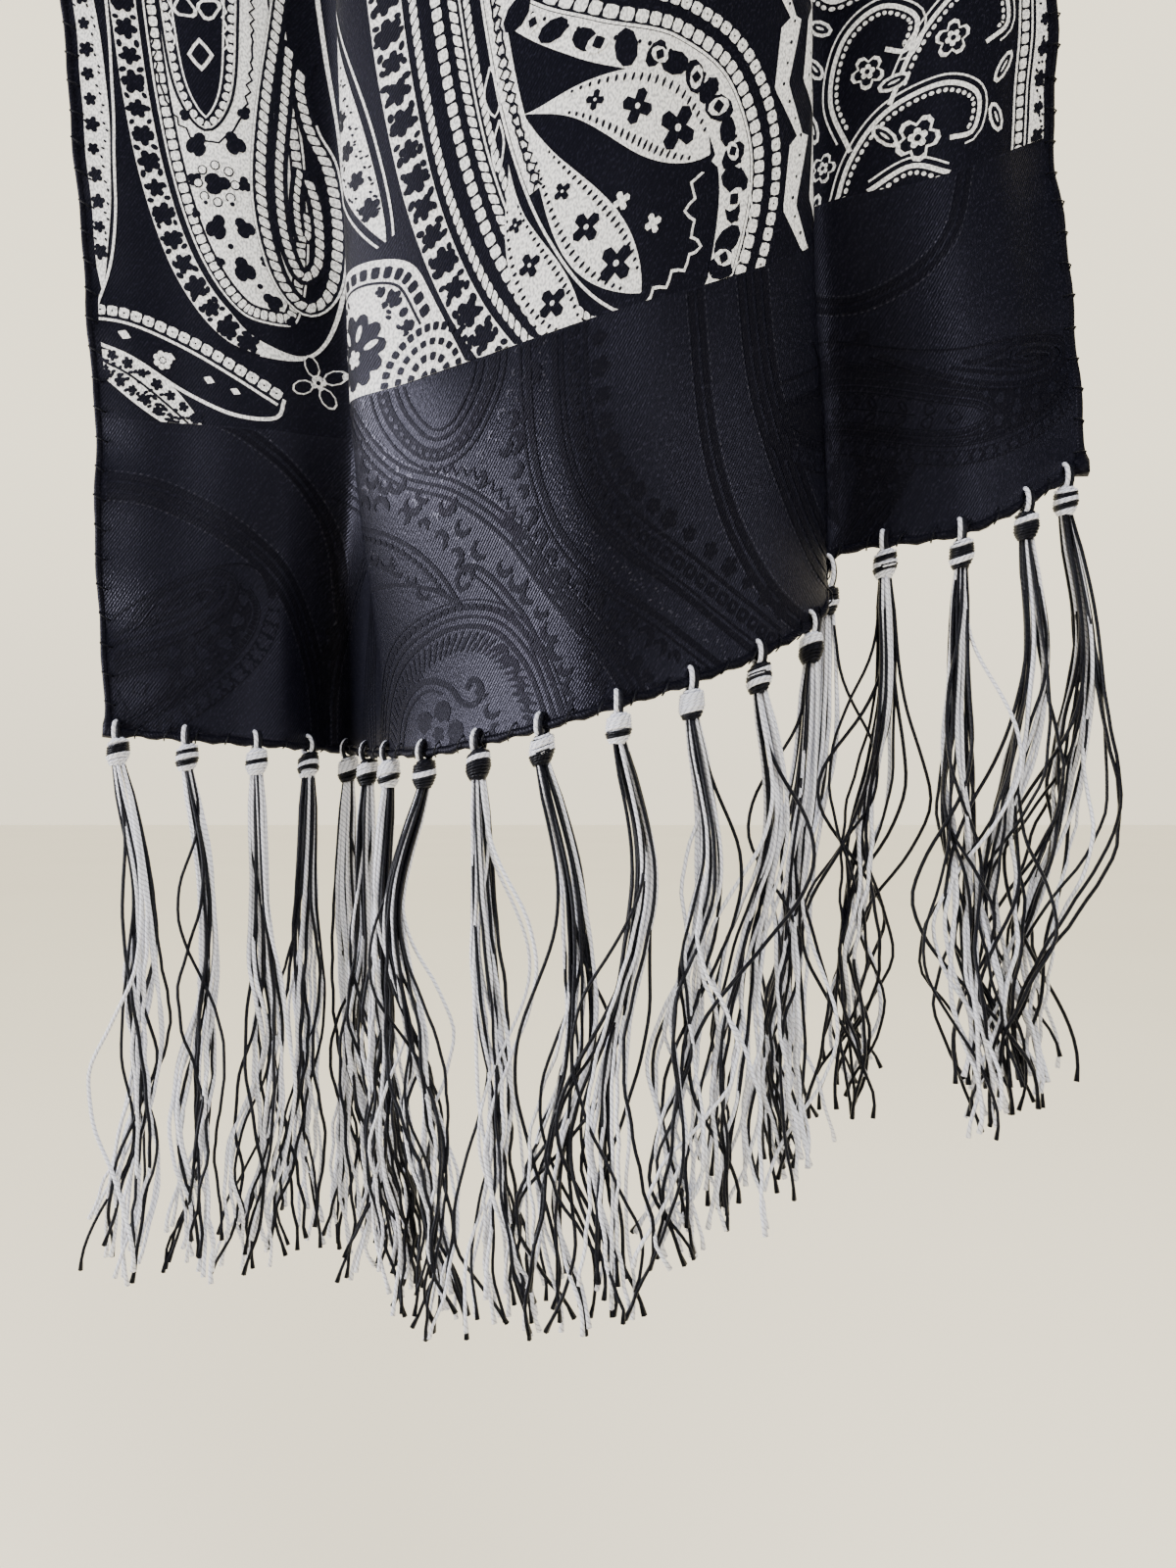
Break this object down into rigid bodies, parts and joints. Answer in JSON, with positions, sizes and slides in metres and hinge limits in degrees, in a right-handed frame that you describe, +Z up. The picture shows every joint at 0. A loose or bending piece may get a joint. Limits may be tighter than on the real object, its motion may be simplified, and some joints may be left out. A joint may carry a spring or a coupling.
{
  "type": "paisley scarf with tasselled ends",
  "caption": "Long silk scarf that hangs folded over a rail: dark cloth with a pale paisley print, plain woven-pattern end bands, rolled hems and knotted two-colour thread tassels.",
  "frame": {"origin": "where the inside of the cloth rests on top of the rail, at the middle of the scarf's width", "axes": "+Z up; +X along the rail, to the right as seen by someone in front; the longer front stretch hangs on the -Y side and the shorter back stretch on the +Y side"},
  "size_m": [0.3307, 0.0908, 1.0848],
  "materials": {
    "silk": "printed silk jacquard with a soft sheen",
    "thread": "twisted silk thread, black and white strands mixed"
  },
  "bodies": {
    "root": {"scarf_cloth": "silk", "tassel_front_01": "thread", "tassel_front_02": "thread", "tassel_front_03": "thread", "tassel_front_04": "thread", "tassel_front_05": "thread", "tassel_front_06": "thread", "tassel_front_07": "thread", "tassel_front_08": "thread", "tassel_front_09": "thread", "tassel_front_10": "thread", "tassel_front_11": "thread", "tassel_front_12": "thread", "tassel_front_13": "thread", "tassel_front_14": "thread", "tassel_front_15": "thread", "tassel_front_16": "thread", "tassel_front_17": "thread", "tassel_front_18": "thread", "tassel_front_19": "thread", "tassel_back_01": "thread", "tassel_back_02": "thread", "tassel_back_03": "thread", "tassel_back_04": "thread", "tassel_back_05": "thread", "tassel_back_06": "thread", "tassel_back_07": "thread", "tassel_back_08": "thread", "tassel_back_09": "thread", "tassel_back_10": "thread", "tassel_back_11": "thread", "tassel_back_12": "thread", "tassel_back_13": "thread", "tassel_back_14": "thread", "tassel_back_15": "thread", "tassel_back_16": "thread", "tassel_back_17": "thread", "tassel_back_18": "thread", "tassel_back_19": "thread"}
  },
  "joints": []
}
